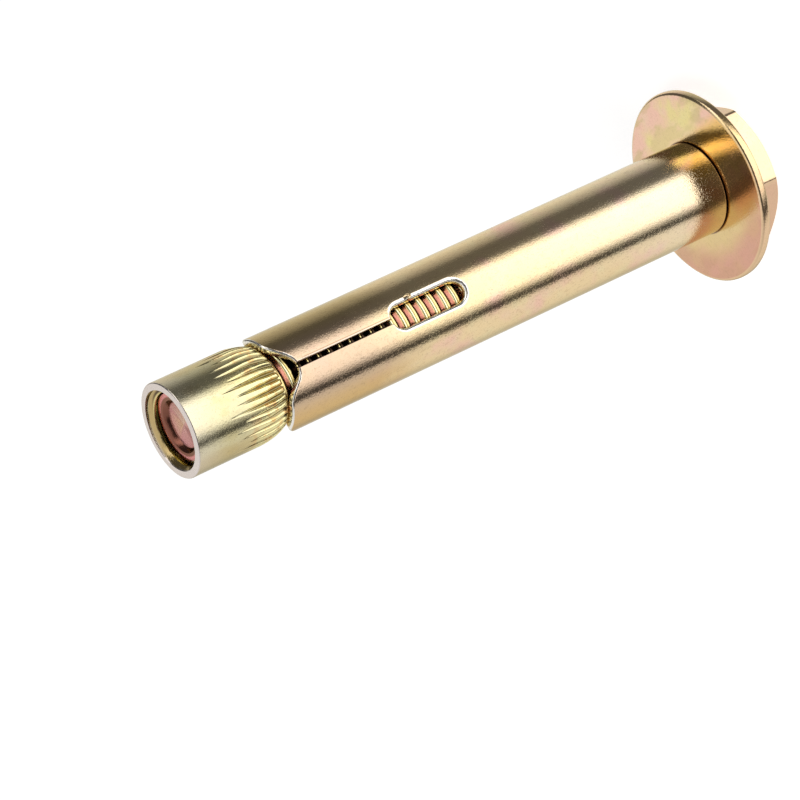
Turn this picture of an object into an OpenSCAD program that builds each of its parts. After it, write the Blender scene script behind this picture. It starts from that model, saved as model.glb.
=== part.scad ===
// Sleeve anchor for masonry: a headed bolt with a washer, a rolled expansion sleeve and a fluted taper nut.
// It stands on its head. +Z runs from the head to the nut, and one of the three slots is on -Y.

/* [Bolt] */
// Nominal diameter of the thread
thread_d = 10; // [8:0.5:12]
// Advance of the thread in one turn
thread_pitch = 1.5; // [1:0.25:1.75]
// Length from under the head to the outer face of the nut
anchor_len = 80; // [65:1:130]
// Depth of the bolt's end below the outer face of the nut
end_recess = 1.2; // [0.4:0.1:3]
// Bevel at the end of the thread
end_bevel = 0.6; // [0.3:0.1:1]
// Diameter of the dished centre of the bolt's end
dish_d = 6.6; // [3:0.1:7]
// Depth of the dished centre
dish_depth = 0.6; // [0.2:0.1:0.8]

/* [Head] */
// Width across the flats of the hexagon
head_af = 17; // [15:0.5:20]
// Height of the head
head_h = 5.2; // [4:0.1:8]
// How far the bevel reaches in from the flats
head_bevel = 0.8; // [0.2:0.1:1.2]
// Slope of the bevel in degrees
head_bevel_deg = 34; // [15:1:35]
// Turn of the hexagon round the axis in degrees
head_turn = 4.5; // [0:0.5:60]
// Fillet between the shank and the head
neck_fillet = 0.4; // [0.2:0.1:0.6]

/* [Washer] */
// Outside diameter of the washer
washer_d = 25; // [20:0.5:32]
// Thickness of the washer
washer_t = 1.3; // [1:0.1:2.5]
// Radial play of the washer round the thread
washer_play = 0.25; // [0.1:0.05:0.5]
// Rounding of the washer's outer edges
washer_round = 0.45; // [0.1:0.05:0.45]

/* [Sleeve] */
// Thickness of the rolled sheet
sleeve_wall = 0.9; // [0.7:0.05:1.3]
// Radial play of the sleeve round the thread
sleeve_play = 0.1; // [0.05:0.05:0.3]
// Break on the inner edges of the sleeve's ends
sleeve_break = 0.15; // [0.05:0.05:0.3]
// Break on the outer edges of the sleeve's ends
end_break = 0.3; // [0.1:0.05:0.35]
// Width of the open seam
seam_w = 0.4; // [0.2:0.1:0.8]
// Width of each window
window_w = 3.1; // [2:0.1:4]
// Length of each window
window_len = 10.4; // [6:0.2:14]
// Width of the coined bevel round each window
window_bevel = 0.4; // [0.1:0.05:0.6]
// Depth of the coined bevel
window_coin = 0.35; // [0.1:0.05:0.5]
// Width of the slit from each window to the notch
slit_w = 0.9; // [0.4:0.1:1.4]
// Length of the slit between the window and the notch
slit_len = 13.7; // [8:0.1:20]
// Depth of each notch in the sleeve's end
notch_depth = 2.3; // [1:0.1:4]
// Width of each notch at the sleeve's end
notch_w = 8.4; // [5:0.2:8.8]

/* [Nut] */
// Length of the nut
nut_len = 13; // [11:0.5:18]
// How much smaller than the sleeve the nut is, all round
nut_under = 0.08; // [0.04:0.02:0.3]
// Depth that the nut's nose stands in the sleeve's mouth
nose_entry = 0.1; // [0.05:0.05:0.3]
// Clearance between the nose and the sleeve's mouth
nose_play = 0.05; // [0.03:0.01:0.15]
// Height of the bevel on the nose
nose_bevel = 0.3; // [0.2:0.05:0.6]
// Length of the curved taper
taper_len = 3.6; // [2.5:0.1:6]
// Bevel on the nut's outer end
nut_bevel = 0.15; // [0.1:0.05:0.6]
// Radial play between the bolt's thread and the nut's
thread_play = 0.05; // [0.02:0.01:0.1]
// Number of flutes round the nut
flute_count = 36; // [20:1:44]
// Mean length of the flutes from the nose
flute_len = 7.4; // [5:0.1:9]
// How much a flute's length may differ from the mean
flute_spread = 0.9; // [0:0.1:1.5]
// Depth of the flutes at the nose
flute_depth = 0.32; // [0.15:0.01:0.4]
// Half of the angle between a flute's sides in degrees
flute_half_deg = 42; // [30:1:50]

/* [Hidden] */
$fn = 96;
// Overrun of a cut past the face that it opens
over = 0.5;
// How far a sloping side lies inside the round end that it meets, so that the two cross and don't just touch
CROSSING = 0.02;
// A rolled thread stands as much above its blank as it sinks into it
PITCH_DROP = 0.6495;
shank_d = thread_d - PITCH_DROP * thread_pitch;
under_head = head_h;
bolt_end = under_head + anchor_len - end_recess;
washer_top = under_head + washer_t;
bore_r = thread_d / 2 + sleeve_play;
sleeve_r = bore_r + sleeve_wall;
nut_top = under_head + anchor_len;
nut_base = nut_top - nut_len;
sleeve_top = nut_base + nose_entry;
notch_foot = sleeve_top - notch_depth;
slit_foot = notch_foot - slit_len;
window_foot = slit_foot - window_len;
nut_r = sleeve_r - nut_under;
nose_r = bore_r - nose_play - nose_entry;
nut_bore_r = shank_d / 2 + thread_play;
// Angles of the three slots, the last in line with the seam
SLOTS = [-90, 30, 150];
SEAM = SLOTS[2];
// Points on each half of a notch's curve
NOTCH_STEPS = 10;
// Bands that make up the taper's arc
TAPER_BANDS = 4;
// Where a flute leaves the taper, as a share of its length
FLUTE_KNEE = 0.36;
// Turn between one flute's length and the next, so that the lengths never repeat round the nut
SPREAD_TURN = 137.5;

zinc_gold = "#d9c48f";
zinc_rose = "#d8b096";
zinc_lime = "#d8d08c";

// Headed bolt with its blank diameter along the thread
module hex_bolt() {
    color(zinc_gold) {
        bolt_head();
        bolt_shank();
    }
}

// Hexagon with a conical bevel round its outer face
module bolt_head() {
    corner_r = head_af / 2 / cos(30);
    face_r = head_af / 2 - head_bevel;
    bevel_h = (corner_r - face_r) * tan(head_bevel_deg);
    intersection() {
        rotate(head_turn) cylinder(r = corner_r, h = head_h, $fn = 6);
        union() {
            cylinder(r1 = face_r, r2 = corner_r, h = bevel_h);
            translate([0, 0, bevel_h]) cylinder(r = corner_r, h = head_h - bevel_h);
        }
    }
}

// Round shank, filleted into the head and dished at its end
module bolt_shank() {
    r = shank_d / 2;
    bevel_r = r - end_bevel;
    difference() {
        rotate_extrude() {
            translate([0, under_head / 2]) square([r, bolt_end - end_bevel - under_head / 2]);
            polygon([[0, bolt_end - end_bevel], [r, bolt_end - end_bevel], [bevel_r, bolt_end], [0, bolt_end]]);
            difference() {
                translate([0, under_head]) square([r + neck_fillet, neck_fillet]);
                translate([r + neck_fillet, under_head + neck_fillet]) circle(r = neck_fillet);
            }
        }
        translate([0, 0, bolt_end - dish_depth])
            cylinder(r1 = dish_d / 2 - dish_depth, r2 = dish_d / 2 + over, h = dish_depth + over);
    }
}

// Plain washer, rounded on both of its outer edges
module flat_washer() {
    r = washer_d / 2;
    hole_r = thread_d / 2 + washer_play;
    color(zinc_rose) translate([0, 0, under_head]) rotate_extrude() difference() {
        translate([hole_r, 0]) square([r - hole_r, washer_t]);
        washer_edge(r, washer_t, 1);
        washer_edge(r, 0, -1);
    }
}

// Corner left outside the rounding of the washer's edge at height z, above it or below it
module washer_edge(r, z, side) {
    difference() {
        translate([r - washer_round, side > 0 ? z - washer_round : z]) square(washer_round);
        translate([r - washer_round, z - side * washer_round]) circle(r = washer_round);
    }
}

// One strip of sheet rolled into a tube, with an open seam and three slots that end in notches.
// The revolve starts opposite the seam, where the wall is whole between two slots.
module expansion_sleeve() {
    color(zinc_gold) difference() {
        rotate(SEAM - 180) rotate_extrude() sleeve_wall_section();
        seam_cut();
        for (angle = SLOTS) rotate(angle + 90) slot_cut();
    }
}

// Section of the sleeve's wall with its four edges broken, the outer two more than the inner
module sleeve_wall_section() {
    b = sleeve_break;
    e = end_break;
    polygon([
        [bore_r + b, washer_top], [sleeve_r - e, washer_top], [sleeve_r, washer_top + e],
        [sleeve_r, sleeve_top - e], [sleeve_r - e, sleeve_top], [bore_r + b, sleeve_top],
        [bore_r, sleeve_top - b], [bore_r, washer_top + b]
    ]);
}

module seam_cut() {
    rotate(SEAM) translate([0, -seam_w / 2, washer_top - over])
        cube([sleeve_r + over, seam_w, sleeve_top - washer_top + 2 * over]);
}

// Window, slit and notch through the wall on -Y
module slot_cut() {
    flat_cut() {
        window_outline(window_w / 2);
        translate([-slit_w / 2, slit_foot - window_w / 2]) square([slit_w, slit_len + window_w / 2 + over]);
        notch_outline();
    }
    window_coining();
}

// Carries an outline drawn across X and Z through the wall on -Y
module flat_cut() {
    rotate([90, 0, 0]) linear_extrude(height = sleeve_r + over) children();
}

// Outline with round ends, as far out as r from the window's middle line
module window_outline(r) {
    ends = [window_foot + window_w / 2, slit_foot - window_w / 2];
    for (z = ends) translate([0, z]) circle(r = r);
    translate([-r, ends[0]]) square([2 * r, ends[1] - ends[0]]);
}

// Bevel that the punch leaves round the window: a half cone at each end and a sloping side between them
module window_coining() {
    r_in = window_w / 2;
    r_out = r_in + window_bevel;
    ends = [window_foot + r_in, slit_foot - r_in];
    depth = sleeve_r - sqrt(sleeve_r * sleeve_r - r_out * r_out) + window_coin;
    r_top = r_out + window_bevel / 2;
    for (z = ends) translate([0, -sleeve_r, z]) rotate([-90, 0, 0]) cylinder(r1 = r_top, r2 = r_in, h = depth);
    translate([0, 0, ends[0]]) linear_extrude(height = ends[1] - ends[0]) polygon([
        [CROSSING - r_top, -sleeve_r], [r_top - CROSSING, -sleeve_r],
        [r_in - CROSSING, depth - sleeve_r], [CROSSING - r_in, depth - sleeve_r]
    ]);
}

// Notch that sweeps out from the slit in an S curve on each side
module notch_outline() {
    half = [for (i = [0:NOTCH_STEPS]) notch_point(i / NOTCH_STEPS)];
    mirrored = [for (i = [NOTCH_STEPS:-1:0]) [-half[i][0], half[i][1]]];
    polygon(concat(
        half, [[notch_w / 2, sleeve_top + over], [-notch_w / 2, sleeve_top + over]], mirrored
    ));
}

function notch_point(t) = [
    slit_w / 2 + t * (notch_w - slit_w) / 2,
    notch_foot + notch_depth * (1 - cos(180 * t)) / 2
];

// Taper nut: a turned body, flutes rolled along its taper, and the bore of its thread
module cone_nut() {
    color(zinc_lime) difference() {
        translate([0, 0, nut_base]) rotate_extrude() nut_half_section();
        for (i = [0:flute_count - 1]) rotate((i + 0.5) * 360 / flute_count) translate([0, 0, nut_base]) flute_cut(i);
        nut_bore();
    }
}

// Right half of the nut's outline, filled to the axis
module nut_half_section() {
    polygon([[0, 0], [nose_r, 0], [nose_r + nose_bevel, nose_bevel], [0, nose_bevel]]);
    polygon(concat([[0, taper_len], [0, nose_bevel]], [for (i = [TAPER_BANDS:-1:0]) taper_point(i / TAPER_BANDS)]));
    translate([0, taper_len]) square([nut_r, nut_len - taper_len - nut_bevel]);
    polygon([[0, nut_len - nut_bevel], [nut_r, nut_len - nut_bevel], [nut_r - nut_bevel, nut_len], [0, nut_len]]);
}

// Point on the taper's arc, which runs smoothly into the straight side at t = 0 and meets the nose bevel at t = 1
function taper_point(t) = let (
    rise = taper_len - nose_bevel,
    fall = nut_r - nose_r - nose_bevel,
    arc_r = (rise * rise + fall * fall) / (2 * fall),
    angle = t * asin(rise / arc_r)
) [nut_r - arc_r * (1 - cos(angle)), taper_len - arc_r * sin(angle)];

// One flute: a V that follows the taper and then fades out along the straight side
module flute_cut(i) {
    reach = flute_len + flute_spread * sin(i * SPREAD_TURN);
    foot = [nose_r + nose_bevel - flute_depth, 0];
    knee = [nut_r - flute_depth, FLUTE_KNEE * reach];
    v_run(foot, knee);
    v_run(knee, [nut_r, reach]);
}

// V cut whose bottom line passes through points a and b, each a radius and a height, and runs on past both
module v_run(a, b) {
    tall = 3 * flute_depth;
    half_w = tall * tan(flute_half_deg);
    back = a[1] + over;
    translate([a[0], 0, a[1]]) rotate([0, atan2(b[0] - a[0], b[1] - a[1]), 0]) translate([0, 0, -back])
        linear_extrude(height = norm(b - a) + back + over) polygon([[0, 0], [tall, half_w], [tall, -half_w]]);
}

// Bore of the nut, opened out at its mouth to the full size of the thread
module nut_bore() {
    wide = thread_d / 2 - nut_bore_r + thread_play;
    translate([0, 0, nut_base - over]) cylinder(r = nut_bore_r, h = nut_len + 2 * over);
    translate([0, 0, nut_top - wide]) cylinder(r1 = nut_bore_r, r2 = nut_bore_r + wide + over, h = wide + over);
}

hex_bolt();
flat_washer();
expansion_sleeve();
cone_nut();
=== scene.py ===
"""Looks of the sleeve anchor: rolled thread, fluted nut, rolled sleeve, pressed washer, yellow zinc coat.

The anchor stands on its head with the nut at the top. Lengths are in millimetres while a piece is modelled,
and in metres once it is finished.
"""

from math import asin, atan2, cos, hypot, pi, radians, sin, sqrt, tan

import bmesh
import bpy
from mathutils import Matrix, Vector


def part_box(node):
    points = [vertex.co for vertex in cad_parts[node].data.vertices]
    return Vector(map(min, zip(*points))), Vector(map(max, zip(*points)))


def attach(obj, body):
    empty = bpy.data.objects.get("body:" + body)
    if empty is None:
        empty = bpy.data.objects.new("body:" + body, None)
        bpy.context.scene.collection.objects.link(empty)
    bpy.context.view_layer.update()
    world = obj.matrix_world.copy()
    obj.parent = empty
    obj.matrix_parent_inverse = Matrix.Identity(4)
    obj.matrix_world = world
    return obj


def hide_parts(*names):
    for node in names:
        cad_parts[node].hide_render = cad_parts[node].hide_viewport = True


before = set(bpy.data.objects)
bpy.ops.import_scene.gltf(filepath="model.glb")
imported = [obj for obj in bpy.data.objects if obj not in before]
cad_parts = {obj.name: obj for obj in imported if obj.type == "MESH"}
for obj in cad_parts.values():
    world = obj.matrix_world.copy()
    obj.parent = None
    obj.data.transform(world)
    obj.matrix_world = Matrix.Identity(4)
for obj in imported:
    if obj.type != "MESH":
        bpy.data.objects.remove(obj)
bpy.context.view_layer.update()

MM = 0.001
# How near two places have to be, in millimetres, to count as one: for joining, cutting, rims and round faces
WELD = 0.001
FINE_WELD = 1e-5
CUT_SLACK = 1e-6
RIM_SLACK = 1e-4
ROUND_SLACK = 1e-3


def box_mm(node):
    """Lowest and highest corners of a CAD node, in millimetres."""
    return [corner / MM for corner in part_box(node)]


BOLT_HIGH = box_mm("hex_bolt")[1]
WASHER_LOW, WASHER_HIGH = box_mm("flat_washer")
SLEEVE_LOW, SLEEVE_HIGH = box_mm("expansion_sleeve")
NUT_LOW, NUT_HIGH = box_mm("cone_nut")

# Camera, as the photograph was taken: place and aim in millimetres, turn of the picture in degrees
CAMERA_AT = (-50.17, -353.56, 246.88)
CAMERA_AIM = (-5.29, 23.34, 44.82)
CAMERA_TURN = 115.43
CAMERA_LENS = 155.34
SENSOR = 36.0

# Head of the bolt
HEAD_AF = 17.0
HEAD_TOP = WASHER_LOW.z
HEAD_TURN = 4.5
HEAD_BEVEL = 0.8
HEAD_BEVEL_SLOPE = radians(34)
CORNER_ROUND = 0.35

# Thread, right-handed
PITCH = 1.5
THREAD_R = 4.955
THREAD_FROM = 42.0
THREAD_RUNOUT = 3.0
THREAD_STEPS = 72
# Pitches that the helix is drawn past each end before it is cut square
SPARE_PITCHES = 2
SHANK_R = 4.513
SHANK_IN_HEAD = 1
NECK_FILLET = 0.4
END_BEVEL = 0.6
END_FACE_R = THREAD_R - END_BEVEL - 0.1
DISH_R = 3.3
DISH_DEPTH = 0.6
# Dish in the thread's end from its rim inwards: radius, depth
DISH_FORM = [
    (DISH_R, 0), (DISH_R - 0.1, 0.05), (DISH_R - 0.45, DISH_DEPTH), (DISH_R - 0.6, DISH_DEPTH + 0.04),
    (0.6, DISH_DEPTH + 0.08),
]
# One pitch of the thread from root to root: share of the pitch, radius. The crest has a rolling seam
THREAD_FORM = [
    (0.00, 4.15), (0.04, 4.18), (0.13, 4.44), (0.235, 4.73), (0.265, 4.84), (0.31, 4.90), (0.38, 4.918),
    (0.44, 4.90), (0.48, 4.84), (0.50, 4.80), (0.52, 4.85), (0.56, 4.935), (0.62, 4.955), (0.685, 4.94),
    (0.735, 4.88), (0.77, 4.75), (0.87, 4.44), (0.96, 4.18), (1.00, 4.15),
]
# The same for the nut's thread, which stands in the bolt's root
NUT_FORM = [
    (0.00, 4.32), (0.05, 4.33), (0.09, 4.38), (0.20, 4.72), (0.30, 5.01), (0.36, 5.05), (0.64, 5.05),
    (0.70, 5.01), (0.80, 4.72), (0.91, 4.38), (0.95, 4.33), (1.00, 4.32),
]

# Washer
WASHER_HOLE_R = 5.25
WASHER_ROUND = 0.45
HOLE_ROUND = 0.12

# Sleeve, as a flat strip before it is rolled. Its ends meet in the third slot, and its middle lies opposite
SLEEVE_R = 6.0
SLEEVE_WALL = 0.9
SEAM_TURN = radians(150)
STRIP_END = pi * SLEEVE_R
SLOT_AT = STRIP_END / 3
SLOT_MIDDLES = (-STRIP_END, -SLOT_AT, SLOT_AT, STRIP_END)
SEAM_HALF = 0.2
WINDOW_R = 1.55
WINDOW_LEN = 10.4
# Reach of the slit to each side of its middle. Its second side is drawn over further when it is punched
SLIT_SIDES = (0.42, 0.14)
SLIT_LEN = 13.7
NOTCH_DEPTH = 2.3
NOTCH_HALF = 4.2
NOTCH_FOOT = SLEEVE_HIGH.z - NOTCH_DEPTH
SLIT_FOOT = NOTCH_FOOT - SLIT_LEN
WINDOW_FOOT = SLIT_FOOT - WINDOW_LEN
COIN_WIDTH = 0.5
SLIT_BREAKS = (0.1, 0.3)
END_BREAK = 0.3
SEAM_BREAK = 0.13
INNER_BREAK = 0.1
# How far the middle of an edge may lie past a side or a foot, in millimetres, to belong to it
SIDE_SLACK = 0.01
FOOT_SLACK = 0.1
# Steps of a quarter of the window's round end, of its straight side and of the notch's curve
ROUND_STEPS = 14
SIDE_STEPS = 40
NOTCH_STEPS = 20
BEND_STEP = radians(2.5)
# Burr on the rim of the slot that faces the viewer
BURR_AT = (1.8 - SLOT_AT, 53.0)
BURR_SIZE = 0.55
BURR_RISE = 0.8 * BURR_SIZE

# Nut
NUT_R = 5.92
NOSE_R = 4.95
NOSE_BEVEL = 0.3
TAPER_LEN = 3.6
NUT_RIM = 0.18
MOUTH_R = 5.0
NOSE_MOUTH_R = NOSE_R - 0.25
# Rows of vertices above the nose's bevel, and their spacing in millimetres
NUT_ROWS = 59
NUT_ROW_STEP = 0.15
FLUTES = 36
FLUTE_COLUMNS = 20
FLUTE_LEN = 7.4
FLUTE_SPREAD = 0.9
FLUTE_SPREAD_TURN = radians(137.5)
FLUTE_KNEE = 0.36
FLUTE_DEPTH = 0.32
FLUTE_LEAST_HALF = 0.1
FLUTE_SLOPE = tan(radians(42))


def new_collection_object(name, data):
    """A new object in the scene, for a mesh, a lamp or a camera."""
    piece = bpy.data.objects.new(name, data)
    bpy.context.scene.collection.objects.link(piece)
    return piece


def verts_of(geom):
    """The vertices among an operator's results."""
    return [item for item in geom if isinstance(item, bmesh.types.BMVert)]


def whole(bm):
    """Every vertex, edge and face of a shape."""
    return bm.verts[:] + bm.edges[:] + bm.faces[:]


def smooth_and_crease(bm, crease_deg):
    """Shades every face smooth and keeps edges sharper than the given angle crisp."""
    for face in bm.faces:
        face.smooth = True
    for edge in bm.edges:
        edge.smooth = len(edge.link_faces) == 2 and edge.calc_face_angle(0.0) < radians(crease_deg)


def finish_piece(name, bm, node, body, finish, crease_deg=32):
    """Turns a shape in millimetres into a piece that rides on its body in place of its CAD node."""
    bmesh.ops.remove_doubles(bm, verts=bm.verts, dist=FINE_WELD)
    bmesh.ops.recalc_face_normals(bm, faces=bm.faces)
    smooth_and_crease(bm, crease_deg)
    bmesh.ops.scale(bm, vec=(MM, MM, MM), verts=bm.verts)
    mesh = bpy.data.meshes.new(name)
    bm.to_mesh(mesh)
    bm.free()
    piece = new_collection_object(name, mesh)
    mesh.materials.append(finish)
    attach(piece, body)
    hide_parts(node)
    return piece


def line_of(bm, points):
    """Vertices at the points, joined one after the other by edges."""
    verts = [bm.verts.new(point) for point in points]
    edges = [bm.edges.new(pair) for pair in zip(verts, verts[1:])]
    return verts, edges


def repeat_shape(bm, copies, move):
    """Repeats a whole shape and welds the copies: number i is placed by the matrix move(i)."""
    first = whole(bm)
    for i in range(1, copies):
        copy = bmesh.ops.duplicate(bm, geom=first)["geom"]
        bmesh.ops.transform(bm, matrix=move(i), verts=verts_of(copy))
    bmesh.ops.remove_doubles(bm, verts=bm.verts, dist=WELD)


def turn_profile(bm, points, sectors, steps, closed=False):
    """Revolves a profile of radius and height points right round the Z axis, one sector at a time."""
    verts, edges = line_of(bm, [(r, 0, z) for r, z in points])
    if closed:
        edges.append(bm.edges.new((verts[-1], verts[0])))
    share = 2 * pi / sectors
    bmesh.ops.spin(bm, geom=verts + edges, cent=(0, 0, 0), axis=(0, 0, 1), angle=share, steps=steps,
                   use_merge=False)
    repeat_shape(bm, sectors, lambda i: Matrix.Rotation(i * share, 4, "Z"))


def corner_arc(centre, radius, start, stop, steps):
    """Points of radius and height along an arc, with its angles in degrees from the outward direction."""
    turns = [radians(start + (stop - start) * i / steps) for i in range(steps + 1)]
    return [(centre[0] + radius * cos(t), centre[1] + radius * sin(t)) for t in turns]


def helix_surface(form, low, high):
    """Open thread surface that fills the height from low to high, cut square at both ends."""
    bm = bmesh.new()
    turns = int((high - low) / PITCH) + 2 * SPARE_PITCHES
    base = low - SPARE_PITCHES * PITCH
    verts, edges = line_of(bm, [(r, 0, base + share * PITCH) for share, r in form])
    bmesh.ops.spin(bm, geom=verts + edges, cent=(0, 0, 0), axis=(0, 0, 1), angle=2 * pi,
                   dvec=(0, 0, PITCH / THREAD_STEPS), steps=THREAD_STEPS, use_merge=False)
    repeat_shape(bm, turns, lambda i: Matrix.Translation((0, 0, i * PITCH)))
    for height, side in ((low, -1), (high, 1)):
        bmesh.ops.bisect_plane(bm, geom=whole(bm), plane_co=(0, 0, height), plane_no=(0, 0, side),
                               clear_outer=True, dist=CUT_SLACK)
    return bm


def rim_edges(bm, height):
    """Open edges of a surface that lie at the given height."""
    return [e for e in bm.edges
            if e.is_boundary and all(abs(v.co.z - height) < RIM_SLACK for v in e.verts)]


def set_radius(vert, radius):
    """Moves a vertex along its own radius."""
    now = hypot(vert.co.x, vert.co.y)
    vert.co.x *= radius / now
    vert.co.y *= radius / now


def draw_rim(bm, rim, radius, height):
    """Extrudes an open rim to a new radius and height, and gives the new rim."""
    grown = bmesh.ops.extrude_edge_only(bm, edges=rim)["geom"]
    for vert in verts_of(grown):
        vert.co.z = height
        set_radius(vert, radius)
    return [g for g in grown if isinstance(g, bmesh.types.BMEdge) and g.is_boundary]


def bolt_round():
    """Shank and thread of the bolt, from inside the head to the dished end."""
    end = BOLT_HIGH.z
    bm = helix_surface(THREAD_FORM, THREAD_FROM, end)
    for vert in bm.verts:
        radius = hypot(vert.co.x, vert.co.y)
        fade = min(1, max(0, (vert.co.z - THREAD_FROM) / THREAD_RUNOUT))
        radius = SHANK_R + (radius - SHANK_R) * fade
        set_radius(vert, min(radius, THREAD_R - END_BEVEL + end - vert.co.z))
    neck = HEAD_TOP + NECK_FILLET
    rim = draw_rim(bm, rim_edges(bm, THREAD_FROM), SHANK_R, neck)
    for radius, height in corner_arc((SHANK_R + NECK_FILLET, neck), NECK_FILLET, 180, 270, 4)[1:]:
        rim = draw_rim(bm, rim, radius, height)
    rim = draw_rim(bm, rim, SHANK_R, HEAD_TOP - SHANK_IN_HEAD)
    bmesh.ops.edgeloop_fill(bm, edges=rim)
    rim = draw_rim(bm, rim_edges(bm, end), END_FACE_R, end)
    for radius, depth in DISH_FORM:
        rim = draw_rim(bm, rim, radius, end - depth)
    bmesh.ops.edgeloop_fill(bm, edges=rim)
    return bm


def bolt_head():
    """Hexagon head with rounded corners and a turned bevel on its outer face."""
    bm = bmesh.new()
    corner_r = HEAD_AF / 2 / cos(pi / 6)
    bmesh.ops.create_circle(bm, cap_ends=True, radius=corner_r, segments=6)
    turned = Matrix.Rotation(radians(HEAD_TURN) - pi / 2, 3, "Z")
    bmesh.ops.rotate(bm, cent=(0, 0, 0), matrix=turned, verts=bm.verts)
    grown = bmesh.ops.extrude_face_region(bm, geom=bm.faces[:])["geom"]
    bmesh.ops.translate(bm, vec=(0, 0, HEAD_TOP), verts=verts_of(grown))
    upright = [e for e in bm.edges if abs(e.verts[0].co.z - e.verts[1].co.z) > HEAD_TOP / 2]
    bmesh.ops.bevel(bm, geom=upright, offset=CORNER_ROUND, offset_type="OFFSET", segments=4, profile=0.5,
                    affect="EDGES", material=-1)
    return bm


def solid_copy(name, bm):
    """A plain object of a shape, for cutting with."""
    mesh = bpy.data.meshes.new(name)
    bmesh.ops.recalc_face_normals(bm, faces=bm.faces)
    bm.to_mesh(mesh)
    bm.free()
    return new_collection_object(name, mesh)


def apply_modifiers(piece):
    """The shape of an object after its modifiers, as a bmesh. The object is removed."""
    depsgraph = bpy.context.evaluated_depsgraph_get()
    bm = bmesh.new()
    bm.from_object(piece, depsgraph)
    bpy.data.objects.remove(piece)
    return bm


def bevelled_head():
    """The head cut to the cone that is turned on its outer face."""
    head = solid_copy("head_blank", bolt_head())
    bm = bmesh.new()
    face_r = HEAD_AF / 2 - HEAD_BEVEL
    wide = face_r + 2 * HEAD_TOP / tan(HEAD_BEVEL_SLOPE)
    profile = [(0, 0), (face_r, 0), (wide, 2 * HEAD_TOP), (0, 2 * HEAD_TOP)]
    turn_profile(bm, profile, sectors=8, steps=16)
    bmesh.ops.remove_doubles(bm, verts=bm.verts, dist=FINE_WELD)
    cone = solid_copy("head_cone", bm)
    cut = head.modifiers.new("turned bevel", "BOOLEAN")
    cut.operation = "INTERSECT"
    cut.solver = "EXACT"
    cut.object = cone
    shape = apply_modifiers(head)
    bpy.data.objects.remove(cone)
    return shape


def add_shape(bm, other):
    """Adds one shape to another."""
    mesh = bpy.data.meshes.new("part")
    other.to_mesh(mesh)
    other.free()
    bm.from_mesh(mesh)
    bpy.data.meshes.remove(mesh)


def make_bolt(finish):
    """Bolt with its head, shank and rolled thread, in one piece."""
    bm = bolt_round()
    add_shape(bm, bevelled_head())
    return finish_piece("headed_bolt", bm, "hex_bolt", "bolt", finish)


def make_washer(finish):
    """Pressed washer: the press rounds the outer edge and eases the hole."""
    low, high, r = WASHER_LOW.z, WASHER_HIGH.z, WASHER_HIGH.x
    outer = corner_arc((r - WASHER_ROUND, low + WASHER_ROUND), WASHER_ROUND, -90, 0, 5)
    outer += corner_arc((r - WASHER_ROUND, high - WASHER_ROUND), WASHER_ROUND, 0, 90, 5)
    inner = corner_arc((WASHER_HOLE_R + HOLE_ROUND, high - HOLE_ROUND), HOLE_ROUND, 90, 180, 3)
    inner += corner_arc((WASHER_HOLE_R + HOLE_ROUND, low + HOLE_ROUND), HOLE_ROUND, 180, 270, 3)
    bm = bmesh.new()
    turn_profile(bm, outer + inner, sectors=10, steps=16, closed=True)
    return finish_piece("pressed_washer", bm, "flat_washer", "washer", finish)


def rolled(x):
    """Length round the sleeve's outer face that lies x to the side of a slot."""
    return SLEEVE_R * asin(x / SLEEVE_R)


def slot_side(least, slit_reach):
    """Points on one side of a slot, from the window's foot to the notch's end.

    None lies nearer the slot's middle than the least reach.
    """
    low, high = WINDOW_FOOT + WINDOW_R, SLIT_FOOT - WINDOW_R
    slit_reach = max(least, slit_reach)
    start = asin(least / WINDOW_R)
    stop = asin(slit_reach / WINDOW_R)
    foot = [start + (pi / 2 - start) * i / ROUND_STEPS for i in range(ROUND_STEPS + 1)]
    top = [pi / 2 - (pi / 2 - stop) * i / ROUND_STEPS for i in range(ROUND_STEPS + 1)]
    points = [(WINDOW_R * sin(t), low - WINDOW_R * cos(t)) for t in foot]
    points += [(WINDOW_R, low + (high - low) * i / SIDE_STEPS) for i in range(1, SIDE_STEPS)]
    points += [(WINDOW_R * sin(t), high + WINDOW_R * cos(t)) for t in top]
    for i in range(NOTCH_STEPS + 1):
        share = i / NOTCH_STEPS
        rise = NOTCH_DEPTH * (1 - cos(pi * share)) / 2
        points.append((slit_reach + share * (NOTCH_HALF - slit_reach), NOTCH_FOOT + rise))
    return [(rolled(x), z) for x, z in points]


def whole_slot(middle):
    """Outline of a slot in the strip, from the notch's left end round the window to its right end."""
    left, right = (slot_side(0, reach) for reach in SLIT_SIDES)
    return [(middle - x, z) for x, z in reversed(left)] + [(middle + x, z) for x, z in right[1:]]


def strip_outline():
    """Outline of the strip with its two slots and, at its ends, the two halves of the third."""
    corner = STRIP_END - rolled(SEAM_HALF)
    before, after = (slot_side(SEAM_HALF, reach) for reach in SLIT_SIDES)
    left = [(x - STRIP_END, z) for x, z in after]
    right = [(STRIP_END - x, z) for x, z in reversed(before)]
    return ([(-corner, SLEEVE_LOW.z)] + left + whole_slot(-SLOT_AT) + whole_slot(SLOT_AT) + right
            + [(corner, SLEEVE_LOW.z)])


def strip_blank():
    """The flat strip, outer face at y = 0 and inner face at y = wall, with its punched openings."""
    bm = bmesh.new()
    face = bm.faces.new([bm.verts.new((x, 0, z)) for x, z in strip_outline()])
    grown = bmesh.ops.extrude_face_region(bm, geom=[face])["geom"]
    bmesh.ops.translate(bm, vec=(0, SLEEVE_WALL, 0), verts=verts_of(grown))
    bmesh.ops.recalc_face_normals(bm, faces=bm.faces)
    return bm


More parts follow.
